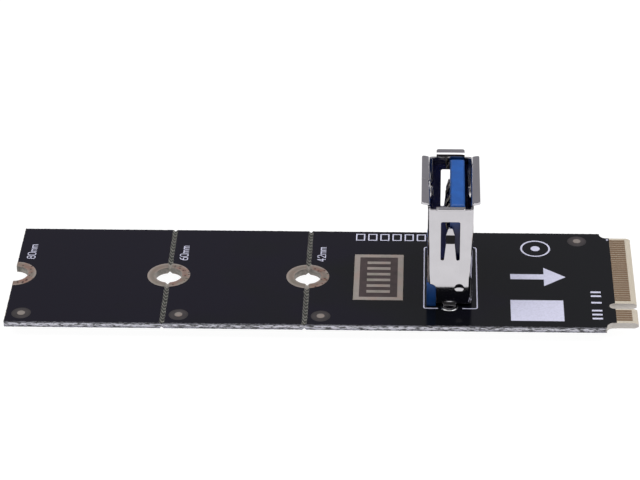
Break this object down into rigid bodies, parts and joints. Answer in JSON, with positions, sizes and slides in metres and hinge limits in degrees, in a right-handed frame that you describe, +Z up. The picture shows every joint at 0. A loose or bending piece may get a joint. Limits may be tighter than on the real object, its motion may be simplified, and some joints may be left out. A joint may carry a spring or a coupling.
{
  "type": "riser card",
  "caption": "Slim adapter circuit board with a keyed plug edge, scored snap-off lengths with screw holes, and an upright shielded socket with a blue tongue for a riser cable.",
  "frame": {"origin": "middle of the plug edge, on the underside of the board", "axes": "+X along the board, the way it plugs in; +Y across the board, away from the key slot; +Z up out of the board's socket side"},
  "size_m": [0.08, 0.022, 0.0172],
  "materials": {
    "board_mask": "black solder mask on glass-fibre laminate",
    "plug_gold": "gold plate",
    "bare_copper": "dull plated copper",
    "shell_steel": "bright nickel plate",
    "blue_moulding": "moulded satin",
    "black_moulding": "moulded matt",
    "contact_metal": "gold flash",
    "solder": "bright solder"
  },
  "bodies": {
    "root": {"circuit_board": "board_mask", "plug_contacts_top": "plug_gold", "plug_contacts_bottom": "plug_gold", "screw_ring_42": "bare_copper", "screw_ring_60": "bare_copper", "screw_ring_80": "bare_copper", "placing_marks": "bare_copper", "copper_panel": "bare_copper", "socket_shell": "shell_steel", "socket_insulator": "blue_moulding", "tail_guide": "black_moulding", "power_contact": "contact_metal", "data_minus_contact": "contact_metal", "data_plus_contact": "contact_metal", "ground_contact": "contact_metal", "receive_minus_contact": "contact_metal", "receive_plus_contact": "contact_metal", "drain_contact": "contact_metal", "transmit_minus_contact": "contact_metal", "transmit_plus_contact": "contact_metal", "signal_solder_joints": "solder", "shell_solder_joints": "solder"}
  },
  "joints": []
}
